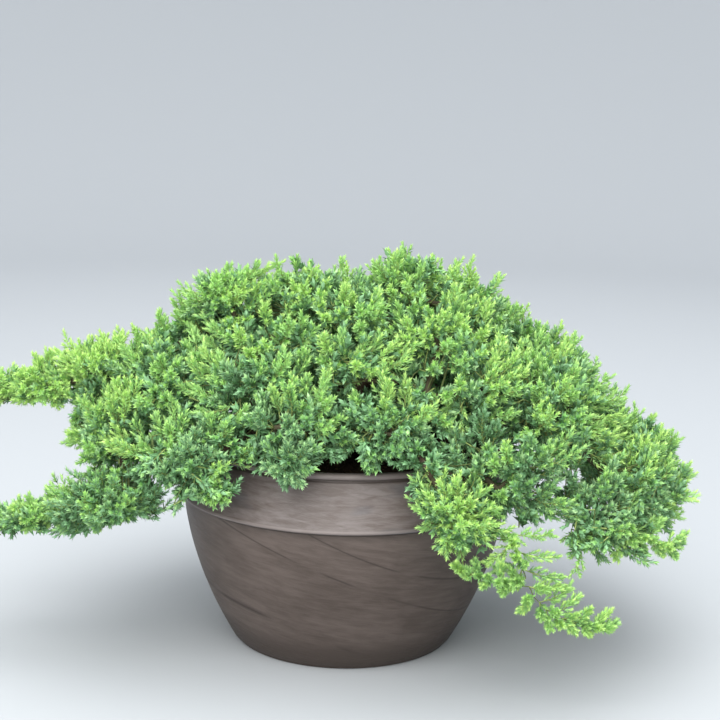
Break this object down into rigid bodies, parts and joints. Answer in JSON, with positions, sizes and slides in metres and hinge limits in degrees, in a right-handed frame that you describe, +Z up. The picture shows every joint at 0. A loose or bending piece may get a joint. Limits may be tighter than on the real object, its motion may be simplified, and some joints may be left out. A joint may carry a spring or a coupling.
{
  "type": "potted juniper",
  "caption": "Dwarf spreading conifer in a round bowl pot: short stem, arching boughs and dense mounded needle foliage, with side arms and a spray hanging over the rim.",
  "frame": {"origin": "middle of the pot's flat underside", "axes": "+Z up, +X to the right and +Y away from the side that the picture shows"},
  "size_m": [0.6625, 0.4664, 0.3582],
  "materials": {
    "pot": "satin",
    "soil": "matte",
    "bark": "matte",
    "foliage": "matte"
  },
  "bodies": {
    "root": {"pot": "pot", "soil": "soil", "trunk": "bark", "bough_high_left": "bark", "bough_low_left": "bark", "bough_front_left": "bark", "bough_front": "bark", "bough_hanging": "bark", "bough_right_front": "bark", "bough_right": "bark", "bough_back_right": "bark", "bough_back": "bark", "bough_back_left": "bark", "leader_left": "bark", "leader_middle": "bark", "foliage_mound_left": "foliage", "foliage_mound_middle": "foliage", "foliage_mound_right": "foliage", "foliage_mound_back": "foliage", "foliage_tuft_left": "foliage", "foliage_upper_1": "foliage", "foliage_upper_2": "foliage", "foliage_upper_3": "foliage", "foliage_upper_4": "foliage", "foliage_upper_5": "foliage", "foliage_upper_6": "foliage", "foliage_upper_7": "foliage", "foliage_middle_1": "foliage", "foliage_middle_2": "foliage", "foliage_middle_3": "foliage", "foliage_middle_4": "foliage", "foliage_middle_5": "foliage", "foliage_middle_6": "foliage", "foliage_middle_7": "foliage", "foliage_middle_8": "foliage", "foliage_middle_9": "foliage", "foliage_middle_10": "foliage", "foliage_skirt_1": "foliage", "foliage_skirt_2": "foliage", "foliage_skirt_3": "foliage", "foliage_skirt_4": "foliage", "foliage_skirt_5": "foliage", "foliage_skirt_6": "foliage", "foliage_skirt_7": "foliage", "foliage_skirt_8": "foliage", "foliage_skirt_9": "foliage", "foliage_skirt_10": "foliage", "foliage_skirt_11": "foliage", "foliage_skirt_12": "foliage", "foliage_skirt_13": "foliage", "foliage_arm_high_left_1": "foliage", "foliage_arm_high_left_2": "foliage", "foliage_arm_high_left_3": "foliage", "foliage_arm_low_left_1": "foliage", "foliage_arm_low_left_2": "foliage", "foliage_hanging_spray_1": "foliage", "foliage_hanging_spray_2": "foliage", "foliage_hanging_spray_3": "foliage", "foliage_hanging_spray_4": "foliage", "foliage_rim_tuft": "foliage"}
  },
  "joints": []
}
